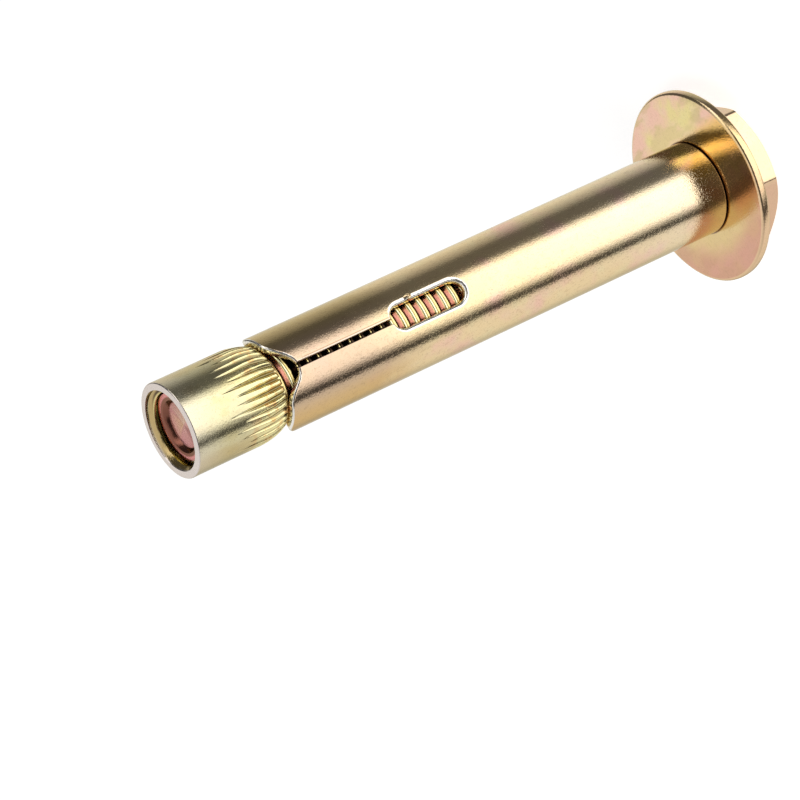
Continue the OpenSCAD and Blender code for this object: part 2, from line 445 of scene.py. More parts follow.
def edge_break(edge):
    """Width that an edge of the strip is rounded by."""
    a, b = (v.co for v in edge.verts)
    if abs(a.y - b.y) > SLEEVE_WALL / 2:
        return 0.0
    if a.y > SLEEVE_WALL / 2:
        return INNER_BREAK
    mid = (a + b) / 2
    aside = min((mid.x - middle for middle in SLOT_MIDDLES), key=abs)
    at_seam = STRIP_END - abs(mid.x) < rolled(SEAM_HALF) + SIDE_SLACK
    if at_seam and mid.z < WINDOW_FOOT + FOOT_SLACK:
        return SEAM_BREAK
    at_slot = abs(aside) < rolled(WINDOW_R) + SIDE_SLACK
    if at_slot and WINDOW_FOOT - SIDE_SLACK < mid.z < SLIT_FOOT - SIDE_SLACK:
        return COIN_WIDTH
    return SLIT_BREAKS[aside > 0] if SLIT_FOOT - FOOT_SLACK < mid.z < NOTCH_FOOT else END_BREAK


def eased_strip():
    """The strip with its windows coined and its other edges broken."""
    bm = strip_blank()
    weight = bm.edges.layers.float.new("bevel_weight_edge")
    for edge in bm.edges:
        edge[weight] = edge_break(edge) / COIN_WIDTH
    strip = solid_copy("strip", bm)
    ease = strip.modifiers.new("coined edges", "BEVEL")
    ease.limit_method = "WEIGHT"
    ease.offset_type = "OFFSET"
    ease.width = COIN_WIDTH
    ease.segments = 5
    ease.profile = 0.5
    ease.use_clamp_overlap = False
    return apply_modifiers(strip)


def cut_for_bending(bm):
    """Cuts the strip along its length at every bending step, so that it rolls into a smooth tube."""
    bmesh.ops.triangulate(bm, faces=bm.faces[:])
    steps = int(pi / BEND_STEP)
    for i in range(-steps, steps + 1):
        bmesh.ops.bisect_plane(bm, geom=whole(bm), plane_co=(i * BEND_STEP * SLEEVE_R, 0, 0),
                               plane_no=(1, 0, 0), dist=CUT_SLACK)


def raise_burr(bm):
    """The small burr that the punch left on the rim of the window."""
    for vert in bm.verts:
        away = hypot(vert.co.x - BURR_AT[0], vert.co.z - BURR_AT[1])
        if vert.co.y < SLEEVE_WALL / 2 and away < BURR_SIZE:
            vert.co.y -= BURR_RISE * (1 - away / BURR_SIZE)


def roll_up(bm):
    """Rolls the strip round the Z axis, from its middle to the seam."""
    for vert in bm.verts:
        turn = vert.co.x / SLEEVE_R + SEAM_TURN - pi
        radius = SLEEVE_R - vert.co.y
        vert.co.x = radius * cos(turn)
        vert.co.y = radius * sin(turn)


def set_rolled_normals(piece):
    """Shades the sleeve's two round faces as true cylinders."""
    mesh = piece.data
    normals = []
    for loop in mesh.loops:
        spot = mesh.vertices[loop.vertex_index].co
        radius = hypot(spot.x, spot.y) / MM
        outward = Vector((spot.x, spot.y, 0)).normalized()
        if abs(radius - SLEEVE_R) < ROUND_SLACK:
            normals.append(outward)
        elif abs(radius - SLEEVE_R + SLEEVE_WALL) < ROUND_SLACK:
            normals.append(-outward)
        else:
            normals.append(Vector((0, 0, 0)))
    mesh.normals_split_custom_set(normals)


def make_sleeve(finish):
    """Sleeve punched, coined and rolled from its strip, in one piece."""
    bm = eased_strip()
    cut_for_bending(bm)
    raise_burr(bm)
    roll_up(bm)
    piece = finish_piece("rolled_sleeve", bm, "expansion_sleeve", "sleeve", finish,
                         crease_deg=50)
    set_rolled_normals(piece)
    return piece


def taper_radius(height):
    """Radius of the nut's body at a height above its nose, before the flutes."""
    if height < NOSE_BEVEL:
        return NOSE_R + height
    if height > TAPER_LEN:
        return NUT_R
    rise = TAPER_LEN - NOSE_BEVEL
    fall = NUT_R - NOSE_R - NOSE_BEVEL
    arc_r = (rise * rise + fall * fall) / (2 * fall)
    return NUT_R - arc_r + sqrt(arc_r * arc_r - (TAPER_LEN - height) ** 2)


def flute_depth(number, height):
    """Depth of a flute's bottom below the nut's body at a height above its nose."""
    reach = FLUTE_LEN + FLUTE_SPREAD * sin(number * FLUTE_SPREAD_TURN)
    knee = FLUTE_KNEE * reach
    foot_r = NOSE_R + NOSE_BEVEL - FLUTE_DEPTH
    if height < knee:
        bottom = foot_r + (NUT_R - FLUTE_DEPTH - foot_r) * height / knee
    else:
        bottom = NUT_R - FLUTE_DEPTH * (reach - height) / (reach - knee)
    return max(0, taper_radius(height) - bottom)


def roll_flutes(bm):
    """Presses the flutes into the nut's body."""
    step = 2 * pi / FLUTES
    for vert in bm.verts:
        height = vert.co.z - NUT_LOW.z
        turn = atan2(vert.co.y, vert.co.x) % (2 * pi)
        number = int(turn / step)
        radius = hypot(vert.co.x, vert.co.y)
        aside = abs(turn - (number + 0.5) * step) * radius
        depth = flute_depth(number, height)
        half = FLUTE_LEAST_HALF + depth * FLUTE_SLOPE
        if aside < half and height < FLUTE_LEN + FLUTE_SPREAD:
            set_radius(vert, radius - depth * (1 + cos(pi * aside / half)) / 2)


def nut_skin():
    """Outside of the nut with its flutes, open at the bore's two ends."""
    top = NUT_HIGH.z - NUT_LOW.z
    heights = [0, 0.1, 0.2] + [NOSE_BEVEL + NUT_ROW_STEP * i for i in range(NUT_ROWS)]
    profile = [(taper_radius(h), h) for h in heights]
    profile += corner_arc((NUT_R - NUT_RIM, top - NUT_RIM), NUT_RIM, 0, 90, 8)
    bm = bmesh.new()
    turn_profile(bm, [(r, h + NUT_LOW.z) for r, h in profile], FLUTES, FLUTE_COLUMNS)
    roll_flutes(bm)
    return bm


def nut_thread():
    """Thread in the nut, eased at both mouths, open at both ends."""
    low, high = NUT_LOW.z, NUT_HIGH.z
    bm = helix_surface(NUT_FORM, low, high)
    for vert in bm.verts:
        radius = hypot(vert.co.x, vert.co.y)
        mouth = max(MOUTH_R - (high - vert.co.z), NOSE_MOUTH_R - (vert.co.z - low))
        set_radius(vert, max(radius, mouth))
    return bm


def make_nut(finish):
    """Nut with its flutes outside and its thread inside, in one piece."""
    bm = nut_skin()
    add_shape(bm, nut_thread())
    for height in (NUT_LOW.z, NUT_HIGH.z):
        bmesh.ops.triangle_fill(bm, edges=rim_edges(bm, height), use_beauty=True)
    return finish_piece("fluted_nut", bm, "cone_nut", "nut", finish)


class Nodes:
    """Adds shader nodes to a tree one after the other and joins them."""

    def __init__(self, tree):
        self.tree = tree
        self.tree.nodes.clear()

    def fill(self, socket, value):
        """Joins an input to another node's output, or sets its value."""
        if isinstance(value, bpy.types.NodeSocket):
            self.tree.links.new(value, socket)
        else:
            socket.default_value = value

    def add(self, kind, settings=None, **inputs):
        """A new node. Settings are its own choices, and inputs are values or sockets for its inputs.

        An input goes by its name in Blender, or by its number after the letter i.
        """
        node = self.tree.nodes.new(kind)
        for name, value in (settings or {}).items():
            setattr(node, name, value)
        for name, value in inputs.items():
            numbered = name[0] == "i" and name[1:].isdigit()
            self.fill(node.inputs[int(name[1:]) if numbered else name], value)
        return node

    def math(self, operation, *values):
        """Result of one operation on sockets and numbers."""
        terms = {f"i{number}": value for number, value in enumerate(values)}
        return self.add("ShaderNodeMath", {"operation": operation}, **terms).outputs[0]

    def plus(self, first, second):
        """Sum of two sockets or numbers."""
        return self.math("ADD", first, second)

    def times(self, *values):
        """Product of sockets and numbers."""
        product = values[0]
        for value in values[1:]:
            product = self.math("MULTIPLY", product, value)
        return product

    def away(self, value, middle):
        """Distance of a value from a middle."""
        return self.math("ABSOLUTE", self.math("SUBTRACT", value, middle))

    def blend(self, share, low, high):
        """Blend of two numbers."""
        return self.add("ShaderNodeMix", {"data_type": "FLOAT"}, i0=share, i2=low, i3=high).outputs[0]

    def mix(self, share, low, high):
        """Blend of two colours."""
        node = self.add("ShaderNodeMix", {"data_type": "RGBA"}, Factor=share)
        for index, colour in ((6, low), (7, high)):
            joined = isinstance(colour, bpy.types.NodeSocket)
            self.fill(node.inputs[index], colour if joined else (*colour, 1))
        return node.outputs[2]

    def span(self, value, low, high, to_low=0.0, to_high=1.0):
        """A value stretched smoothly from one span to another."""
        return self.add("ShaderNodeMapRange", {"interpolation_type": "SMOOTHSTEP"}, i0=value, i1=low, i2=high,
                        i3=to_low, i4=to_high).outputs[0]

    def ramp(self, value, stops):
        """Colours that blend from one stop to the next: each stop is a place from 0 to 1 and a colour."""
        node = self.add("ShaderNodeValToRGB", None, Fac=value)
        band = node.color_ramp
        band.interpolation = "LINEAR"
        while len(band.elements) < len(stops):
            band.elements.new(0.5)
        for element, (place, colour) in zip(band.elements, stops):
            element.position = place
            element.color = (*colour, 1)
        return node.outputs[0]


# Colours of the zinc coat, and of the shade and reflections painted on it, in linear light
GOLD = (0.90, 0.69, 0.40)
ROSE = (0.92, 0.58, 0.45)
HEAD_SHADE_ROSE = (0.74, 0.45, 0.31)
LIME = (0.84, 0.78, 0.48)
SAGE = (0.70, 0.63, 0.38)
STRAW = (0.86, 0.72, 0.32)
LEMON = (0.93, 0.83, 0.42)
ORANGE = (0.86, 0.46, 0.16)
OCHRE = (0.62, 0.51, 0.24)
MAUVE = (0.66, 0.34, 0.24)
# Painted highlight colour for the sleeve's rims
RIM_HIGHLIGHT_WHITE = (1.0, 0.97, 0.91)
BROWN = (0.36, 0.24, 0.14)
OLIVE = (0.26, 0.21, 0.10)
UMBER = (0.09, 0.05, 0.03)
CREAM = (0.92, 0.88, 0.55)
PINK = (0.76, 0.49, 0.42)
CORAL = (0.74, 0.28, 0.28)
DISH_SHADE = (0.24, 0.09, 0.06)
WINE = (0.60, 0.25, 0.26)
TAN = (0.54, 0.40, 0.18)
TAN_PINK = (0.60, 0.43, 0.31)
TAN_GOLD = (0.66, 0.41, 0.15)
AMBER = (0.96, 0.60, 0.14)
RUSSET = (0.82, 0.38, 0.20)
PEWTER = (0.78, 0.70, 0.67)
# Painted shade where the sleeve meets the washer
JOINT_SHADE = (0.24, 0.15, 0.11)
# Painted shade in the thread under the slits
SLIT_SHADE = (0.035, 0.02, 0.012)
GRAZING_TINT = (0.84, 0.82, 0.70)

# Thread's colours from root to root, by the share of a pitch. The dark roots and the dark line in the crest's
# rolling seam are painted shade
THREAD_TONES = [(0.00, UMBER), (0.05, UMBER), (0.09, PINK), (0.24, PINK), (0.27, STRAW), (0.47, STRAW),
                (0.50, BROWN), (0.53, CREAM), (0.76, CREAM), (0.80, PINK), (0.92, PINK), (0.96, UMBER),
                (1.00, UMBER)]
# The same under the slits, painted dark as shade with a narrow light band on each crest
SLIT_SHADE_TONES = [(0.00, SLIT_SHADE), (0.56, SLIT_SHADE), (0.59, STRAW), (0.64, STRAW), (0.67, SLIT_SHADE), (1.00, SLIT_SHADE)]

# Noise in the coat: features for each millimetre, and detail
CLOUDS = (0.16, 3)
HAZE = (0.45, 4)
GRAIN = (2.4, 4)
FLECKS = (5.2, 2)
SWELL = (0.9, 2)

# Where that noise tells in the coat's colour and gloss, and by how much
LIME_HAZE = (0.45, 0.75)
BROWN_GRAIN = (0.5, 0.8)
BROWN_FLECKS = (0.56, 0.72)
WEAR_AND_HIGHLIGHT_FLECKS = (0.3, 0.5, 0.7, 1)
GLOSS_HAZE = (0.3, 0.7)
GLOSS_SWING = 0.03
GRAIN_GLOSS = (0.3, 0.8, 0, 0.03)
MATT_FLECKS = (0.5, 0.7)
MATT_SHARE = 0.75
WEAR_AND_HIGHLIGHT_ROUGHNESS = 0.13

# Bump: share of each kind of noise, strength, and depth in metres
SWELL_BUMP = 0.3
FLECK_BUMP = 1.2
GRAIN_BUMP = 0.4
BUMP_STRENGTH = 0.4
BUMP_DEPTH = 0.00003

CLEAR_COAT = 0.08
CLEAR_ROUGHNESS = 0.1

# Each zone of colour runs from one place to another, in millimetres or as a share. Two more numbers are how
# much of the colour is at its two ends, where that isn't 0 and 1. A name in AT is the middle that its zone is
# measured from, and a name in SWAY is how far noise carries a zone
# Painted shade under the slit: where its lit crest dots lie, and where it starts and stops
SLIT_DOTS_AT = -0.02
SLIT_DOTS = (0.04, 0.16, 1, 0)
SLIT_SHADE_FROM = (SLIT_FOOT - 0.4, SLIT_FOOT + 0.4)
SLIT_SHADE_TO = (NOTCH_FOOT, NOTCH_FOOT + 1, 1, 0)
HEAD_ZONE = (HEAD_TOP, HEAD_TOP + 0.2, 1, 0)
# Painted shade on one side of the head
HEAD_SHADE_SIDE = (-3.5, -5, 0, 0.8)
THREAD_ZONE = (THREAD_FROM - 1, THREAD_FROM)
# Painted shade on the wall of the dish in the bolt's end, and round it
DISH_SHADE_SPAN = (DISH_R - 0.65, DISH_R - 0.4)
CORAL_RIM = (DISH_R + 0.25, DISH_R + 0.5)
END_ZONE = (BOLT_HIGH.z - 0.8, BOLT_HIGH.z - 0.6)
END_REACH = (4.1, 4.3, 1, 0)

NUT_STAINS = (0.5, 0.68, 0, 0.45)
# Painted shade: the nut's sides are darker tan
NUT_SIDE_SHADE = (4.3, 5.4, 0, 0.65)
FLUTED = (NUT_LOW.z + 3, NUT_LOW.z + 7, 1, 0)
FLUTE_BLUSH = (0.5, 0.65, 0, 0.7)
# Painted shade in the bottoms of the flutes
FLUTE_SHADE = (0.15, 0.7, 0, 0.9)
# Painted shade in the roots of the nut's thread
NUT_ROOT_SHADE = (4.36, 4.6)
NUT_MOUTH = (NUT_HIGH.z - 0.75, NUT_HIGH.z - 0.6)
NUT_BORE = (4.95, 5.06, 1, 0)
NUT_FACE = (NUT_HIGH.z - 0.12, NUT_HIGH.z - 0.03)

WASHER_BLOTS = (0.5, 0.62, 0, 0.6)
# Painted shade on one half of the washer
MAUVE_SHADE_SIDE = (5, -5, 0, 0.78)
MAUVE_SHADE_SWAY = 8.0
STRAW_RING = (7, 10.5, 0.55, 0)
# Painted reflection of the sleeve in the washer, in front of the sleeve
SLEEVE_MIRROR_FRONT = (-7, -4, 0.75, 0)
SLEEVE_MIRROR_WIDTH = (4.5, 6.5, 1, 0)
SLEEVE_MIRROR_GAP_AT = -1.1
SLEEVE_MIRROR_GAP = (1, 2.2, 0.4, 1)
RUSSET_TO_AMBER = (-1.5, 0.5)
GOLD_RIM = (WASHER_HIGH.x - 0.5, WASHER_HIGH.x - 0.3, 0, 0.6)
# Painted shade on the washer round the sleeve's foot
JOINT_SHADE_RING = (6.05, 6.25, 1, 0)

# Towards the slotted end: partly the coat's tone, partly painted shade
TAN_END_SHADE = (56, 68, 0, 0.8)
TAN_SWAY = 10.0
TAN_SIDES_AT = -0.15
TAN_SIDES = (0.45, 0.8)
TAN_GOLD_SIDE = (-0.8, -0.4)
# Painted shade in a thin line along the drawn edge of the slit, on its front
SLIT_EDGE_SHADE_AT = 0.47
SLIT_EDGE_SHADE_WIDTH = (0.03, 0.1, 1, 0)
SLIT_EDGE_SHADE_FRONT = (-5.5, -5, 1, 0)
SLIT_EDGE_SHADE_FROM = (SLIT_FOOT - 0.2, SLIT_FOOT + 0.4, 0, 0.75)
SLIT_EDGE_SHADE_TO = (NOTCH_FOOT - 2, NOTCH_FOOT - 0.2, 1, 0)
# Painted reflection of the washer on the sleeve's foot
FOOT_REFLECTION = (SLEEVE_LOW.z + 4, SLEEVE_LOW.z + 8, 0.5, 0)
FOOT_REFLECTION_GAP_AT = -0.5
FOOT_REFLECTION_GAP = (2, 3.2, 0.3, 1)
# Painted shade on the sleeve's foot at the washer
FOOT_JOINT_SHADE = (SLEEVE_LOW.z + 0.05, SLEEVE_LOW.z + 0.15, 1, 0)

# Painted highlights on the sleeve's edges, and the nut's worn rim: how bright, where in millimetres, and how
# far they reach
RIM_WEAR_AND_HIGHLIGHT = 0.8
FOOT_HIGHLIGHT_BELOW = 0.5
FOOT_HIGHLIGHT_AT = 0.4
FOOT_HIGHLIGHT_REACH = 0.15
EASED_FROM = 0.015
EASED_TO = 0.35
NOTCH_EASED_TO = 0.55
NOTCH_EASED_ABOVE = 0.2
SLIT_HIGHLIGHT = 0.3
NUT_RUB_REACH = 0.3
NUT_RUB_OUTSIDE = 4.9


def noise(nodes, coords, scale, detail, stretch=(1, 1, 1), shift=(0, 0, 0)):
    """Cloudy value round 0.5, with its scale in features for each millimetre."""
    place = nodes.add("ShaderNodeMapping", None, Vector=coords)
    place.inputs["Scale"].default_value = [s / MM for s in stretch]
    place.inputs["Location"].default_value = shift
    cloud = nodes.add("ShaderNodeTexNoise", {"noise_dimensions": "3D"}, Vector=place.outputs[0], Scale=scale,
                      Detail=detail, Roughness=0.55)
    return cloud.outputs[0]


def vertex_share(nodes, name):
    """A value from 0 to 1 that a piece's vertices carry."""
    return nodes.add("ShaderNodeAttribute", {"attribute_name": name}).outputs["Fac"]


def zinc_coat(name, base, patch, patch_span, haze_share, speck_share, rough, tint, wear_and_highlight_colour=RIM_HIGHLIGHT_WHITE,
              shift=(0, 0, 0)):
    """Yellow zinc: cloudy patches of a second tone, a lime haze, matt brown specks and edges that are worn
    or carry a painted highlight.

    The tint is a rule for the piece's own zones of colour, painted shade and painted reflections among them.
    It takes the nodes, the place and the colour so far, and gives the new colour.
    """
    material = bpy.data.materials.new(name)
    material.use_nodes = True
    nodes = Nodes(material.node_tree)
    coords = nodes.add("ShaderNodeTexCoord").outputs["Object"]
    clouds = noise(nodes, coords, *CLOUDS, shift=shift)
    haze = noise(nodes, coords, *HAZE, shift=(7, 3, 1))
    grain = noise(nodes, coords, *GRAIN, stretch=(1, 1, 0.6))
    fleck = noise(nodes, coords, *FLECKS)
    colour = nodes.mix(nodes.span(clouds, *patch_span), base, patch)
    colour = nodes.mix(nodes.span(haze, *LIME_HAZE, 0, haze_share), colour, LIME)
    colour = tint(nodes, coords, colour)
    colour = nodes.mix(nodes.span(grain, *BROWN_GRAIN, 0, speck_share), colour, BROWN)
    colour = nodes.mix(nodes.span(fleck, *BROWN_FLECKS, 0, speck_share), colour, BROWN)
    # Painted highlight on the sleeve's rims, and wear on the nut's rim: paler colour and rougher gloss
    rub = nodes.times(vertex_share(nodes, "rub"), nodes.span(fleck, *WEAR_AND_HIGHLIGHT_FLECKS))
    colour = nodes.mix(rub, colour, wear_and_highlight_colour)
    gloss = nodes.span(haze, *GLOSS_HAZE, rough - GLOSS_SWING, rough + GLOSS_SWING)
    gloss = nodes.plus(gloss, nodes.span(grain, *GRAIN_GLOSS))
    gloss = nodes.plus(gloss, nodes.times(rub, WEAR_AND_HIGHLIGHT_ROUGHNESS))
    gloss = nodes.plus(gloss, nodes.span(fleck, *MATT_FLECKS, 0, MATT_SHARE * speck_share))
    swell = noise(nodes, coords, *SWELL, stretch=(1, 1, 0.5), shift=(2, 5, 4))
    fine = nodes.plus(nodes.times(fleck, FLECK_BUMP), nodes.times(grain, GRAIN_BUMP))
    height = nodes.plus(nodes.times(swell, SWELL_BUMP), fine)
    bump = nodes.add("ShaderNodeBump", None, Strength=BUMP_STRENGTH, Distance=BUMP_DEPTH, Height=height)
    shader = nodes.add("ShaderNodeBsdfPrincipled", None, Metallic=1.0, Roughness=gloss,
                       Normal=bump.outputs[0])
    nodes.tree.links.new(colour, shader.inputs["Base Color"])
    shader.inputs["Specular Tint"].default_value = (*GRAZING_TINT, 1)
    shader.inputs["Coat Weight"].default_value = CLEAR_COAT
    shader.inputs["Coat Roughness"].default_value = CLEAR_ROUGHNESS
    nodes.add("ShaderNodeOutputMaterial", None, Surface=shader.outputs[0])
    return material


def place_of(nodes, coords):
    """Place on the anchor along X, Y and Z, in millimetres."""
    parts = nodes.add("ShaderNodeSeparateXYZ", None, Vector=coords).outputs
    return [nodes.math("DIVIDE", part, MM) for part in parts]


def radius_of(nodes, coords):
    """Distance from the anchor's axis, in millimetres."""
    parts = nodes.add("ShaderNodeSeparateXYZ", None, Vector=coords)
    flat = nodes.add("ShaderNodeCombineXYZ", None, X=parts.outputs[0], Y=parts.outputs[1])
    length = nodes.add("ShaderNodeVectorMath", {"operation": "LENGTH"}, i0=flat.outputs[0]).outputs["Value"]
    return nodes.math("DIVIDE", length, MM)


def pitch_share(nodes, x, y, z):
    """Share of a pitch that a place on the bolt lies above the thread's root."""
    turn = nodes.math("DIVIDE", nodes.math("ARCTAN2", y, x), 2 * pi)
    climb = nodes.math("DIVIDE", nodes.math("SUBTRACT", z, THREAD_FROM - SPARE_PITCHES * PITCH), PITCH)
    return nodes.math("FRACT", nodes.math("SUBTRACT", climb, turn))


def thread_tint(nodes, coords, colour):
    """The thread's crests are cream and straw, its flanks pink and its roots painted dark as shade. One side
    of the head is painted darker rose as shade.

    Under the slit the thread is painted dark as shade, with a small bright dot left on each crest. The end is
    wine in its dish, painted dark as shade on the dish's wall and round it, and coral at the rim.
    """
    x, y, height = place_of(nodes, coords)
    radius = radius_of(nodes, coords)
    share = pitch_share(nodes, x, y, height)
    # Painted shade: the thread under the slit is dark, with a small lit dot left on each crest
    dots = nodes.span(nodes.away(x, SLIT_DOTS_AT), *SLIT_DOTS)
    slit_shaded_thread = nodes.mix(dots, SLIT_SHADE, nodes.ramp(share, SLIT_SHADE_TONES))
    under_slit = nodes.times(nodes.span(height, *SLIT_SHADE_FROM), nodes.span(height, *SLIT_SHADE_TO))
    thread = nodes.mix(under_slit, nodes.ramp(share, THREAD_TONES), slit_shaded_thread)
    # Painted shade: one side of the head is darker rose
    head_shade = nodes.times(nodes.span(height, *HEAD_ZONE), nodes.span(x, *HEAD_SHADE_SIDE))
    colour = nodes.mix(head_shade, colour, HEAD_SHADE_ROSE)
    colour = nodes.mix(nodes.span(height, *THREAD_ZONE), colour, thread)
    # Painted shade: dark on the dish's wall and round it, wine in its middle
    dish = nodes.mix(nodes.span(radius, *DISH_SHADE_SPAN), WINE, DISH_SHADE)
    end_face = nodes.mix(nodes.span(radius, *CORAL_RIM), dish, CORAL)
    ended = nodes.times(nodes.span(height, *END_ZONE), nodes.span(radius, *END_REACH))
    return nodes.mix(ended, colour, end_face)


def nut_tint(nodes, coords, colour):
    """The body has ochre stains and its sides are painted darker tan as shade. The flutes are lemon with
    orange clouds, and their bottoms are painted olive as shade.

    The thread's crests are straw and its roots are painted dark as shade, the mouth is tan and the end face
    grey.
    """
    x, _, height = place_of(nodes, coords)
    radius = radius_of(nodes, coords)
    stain = noise(nodes, coords, 0.55, 4, stretch=(1, 1, 0.6), shift=(5, 2, 9))
    colour = nodes.mix(nodes.span(stain, *NUT_STAINS), colour, OCHRE)
    # Painted shade: the nut's sides are darker tan
    colour = nodes.mix(nodes.span(nodes.away(x, 0), *NUT_SIDE_SHADE), colour, TAN)
    blush = noise(nodes, coords, 0.9, 2, shift=(1, 8, 2))
    flutes = nodes.mix(nodes.span(blush, *FLUTE_BLUSH), LEMON, ORANGE)
    colour = nodes.mix(nodes.span(height, *FLUTED), colour, flutes)
    # Painted shade: the flutes' bottoms are olive, by their depth
    colour = nodes.mix(nodes.span(vertex_share(nodes, "groove"), *FLUTE_SHADE), colour, OLIVE)
    # Painted shade: the roots of the nut's thread are dark
    thread = nodes.mix(nodes.span(radius, *NUT_ROOT_SHADE), STRAW, UMBER)
    thread = nodes.mix(nodes.span(height, *NUT_MOUTH), thread, TAN)
    colour = nodes.mix(nodes.span(radius, *NUT_BORE), colour, thread)
    return nodes.mix(nodes.span(height, *NUT_FACE), colour, PEWTER)


def washer_tint(nodes, coords, colour):
    """One half of the washer is painted darker mauve as shade. It is yellower near the sleeve, and gold at
    its outer edge.

    In front of the sleeve it has a painted reflection of the sleeve, russet and amber, and a dark ring of
    painted shade lies round the sleeve's foot.
    """
    x, y, _ = place_of(nodes, coords)
    radius = radius_of(nodes, coords)
    blot = noise(nodes, coords, 0.22, 3, stretch=(1.6, 0.7, 1), shift=(4, 9, 4))
    colour = nodes.mix(nodes.span(blot, *WASHER_BLOTS), colour, OCHRE)
    # Painted shade: one half of the washer is darker mauve, its edge swayed by noise
    sway = nodes.times(noise(nodes, coords, 0.2, 3, shift=(4, 4, 4)), MAUVE_SHADE_SWAY)
    colour = nodes.mix(nodes.span(nodes.plus(x, sway), *MAUVE_SHADE_SIDE), colour, MAUVE)
    colour = nodes.mix(nodes.span(radius, *STRAW_RING), colour, STRAW)
    # Painted reflection: the sleeve mirrored in the washer, russet and amber, with a gap in its middle
    sleeve_mirror = nodes.times(nodes.span(y, *SLEEVE_MIRROR_FRONT), nodes.span(nodes.away(x, 0), *SLEEVE_MIRROR_WIDTH),
                       nodes.span(nodes.away(x, SLEEVE_MIRROR_GAP_AT), *SLEEVE_MIRROR_GAP))
    colour = nodes.mix(sleeve_mirror, colour, nodes.mix(nodes.span(x, *RUSSET_TO_AMBER), RUSSET, AMBER))
    colour = nodes.mix(nodes.span(radius, *GOLD_RIM), colour, GOLD)
    # Painted shade: a dark ring on the washer round the sleeve's foot
    return nodes.mix(nodes.span(radius, *JOINT_SHADE_RING), colour, JOINT_SHADE)


def sleeve_tint(nodes, coords, colour):
    """The coat is tan towards the slotted end, partly its own tone and partly painted shade. It is pinker
    there in line with the slit, where the highlight lies, and golden on one side.

    A thin line of painted shade runs along the drawn edge of that slit. The foot has a painted reflection of
    the washer in amber, and a dark ring of painted shade at the washer.
    """
    x, y, height = place_of(nodes, coords)
    side = nodes.math("DIVIDE", x, SLEEVE_R)
    flank = nodes.mix(nodes.span(side, *TAN_GOLD_SIDE), TAN_GOLD, TAN)
    brown = nodes.mix(nodes.span(nodes.away(side, TAN_SIDES_AT), *TAN_SIDES), TAN_PINK, flank)
    sway = nodes.times(noise(nodes, coords, 0.25, 3, shift=(6, 1, 3)), TAN_SWAY)
    # Partly the coat's tone and partly painted shade: darker tan towards the slotted end
    colour = nodes.mix(nodes.span(nodes.plus(height, sway), *TAN_END_SHADE), colour, brown)
    # Painted shade: a thin dark line along the drawn edge of the slit
    slit_edge_shade = nodes.times(nodes.span(nodes.away(x, SLIT_EDGE_SHADE_AT), *SLIT_EDGE_SHADE_WIDTH), nodes.span(y, *SLIT_EDGE_SHADE_FRONT),
                        nodes.span(height, *SLIT_EDGE_SHADE_FROM), nodes.span(height, *SLIT_EDGE_SHADE_TO))
    colour = nodes.mix(slit_edge_shade, colour, BROWN)
    # Painted reflection: the washer mirrored amber on the sleeve's foot, with a gap in its middle
    foot = nodes.times(nodes.span(height, *FOOT_REFLECTION), nodes.span(nodes.away(x, FOOT_REFLECTION_GAP_AT), *FOOT_REFLECTION_GAP))
    colour = nodes.mix(foot, colour, AMBER)
    # Painted shade: a dark ring on the sleeve where it meets the washer
    return nodes.mix(nodes.span(height, *FOOT_JOINT_SHADE), colour, JOINT_SHADE)


def add_share(piece, name, rule):
    """Gives each vertex of a piece a value from 0 to 1 by its place in millimetres."""
    layer = piece.data.attributes.new(name, "FLOAT", "POINT")
    for vert, item in zip(piece.data.vertices, layer.data):
        item.value = rule(vert.co.x / MM, vert.co.y / MM, vert.co.z / MM)


def near(value, middle, reach):
    """1 at the middle, falling to 0 at its reach."""
    return max(0.0, 1 - abs(value - middle) / reach)


def sleeve_rim_highlights(x, y, z):
    """The coined rim, the broken edges just inside the sleeve's outer face and a line at its foot carry a
    painted highlight.
    """
    depth = SLEEVE_R - hypot(x, y)
    if z < SLEEVE_LOW.z + FOOT_HIGHLIGHT_BELOW:
        return RIM_WEAR_AND_HIGHLIGHT * near(z, SLEEVE_LOW.z + FOOT_HIGHLIGHT_AT, FOOT_HIGHLIGHT_REACH)
    reach = NOTCH_EASED_TO if z > NOTCH_FOOT + NOTCH_EASED_ABOVE else EASED_TO
    eased = 1.0 if EASED_FROM < depth < reach else 0.0
    return SLIT_HIGHLIGHT * eased if SLIT_FOOT < z < NOTCH_FOOT else eased


def nut_rub(x, y, z):
    """The nut's outer rim is rubbed grey."""
    return RIM_WEAR_AND_HIGHLIGHT * near(z, NUT_HIGH.z, NUT_RUB_REACH) if hypot(x, y) > NUT_RUB_OUTSIDE else 0.0


def nut_groove(x, y, z):
    """Depth below the nut's body, as a share of a flute's depth."""
    height = z - NUT_LOW.z
    depth = taper_radius(height) - hypot(x, y)
    return min(1.0, max(0.0, depth / FLUTE_DEPTH)) if height < FLUTE_LEN + FLUTE_SPREAD else 0.0


def make_materials():
    """The four pieces' coats, by body."""
    return {
        "bolt": zinc_coat("bolt yellow zinc", GOLD, ROSE, patch_span=(0.45, 0.7), haze_share=0.2,
                          speck_share=0.1, rough=0.14, tint=thread_tint),
        "washer": zinc_coat("washer rose zinc", ROSE, STRAW, patch_span=(0.44, 0.66), haze_share=0.25,
                            speck_share=0.16, rough=0.1, tint=washer_tint, shift=(3, 1, 5)),
        "sleeve": zinc_coat("sleeve yellow zinc", GOLD, ROSE, patch_span=(0.5, 0.75), haze_share=0.3,
                            speck_share=0.3, rough=0.05, tint=sleeve_tint),
        "nut": zinc_coat("nut green-yellow zinc", SAGE, STRAW, patch_span=(0.5, 0.75), haze_share=0.2,
                         speck_share=0.2, rough=0.14, tint=nut_tint, wear_and_highlight_colour=PEWTER),
    }


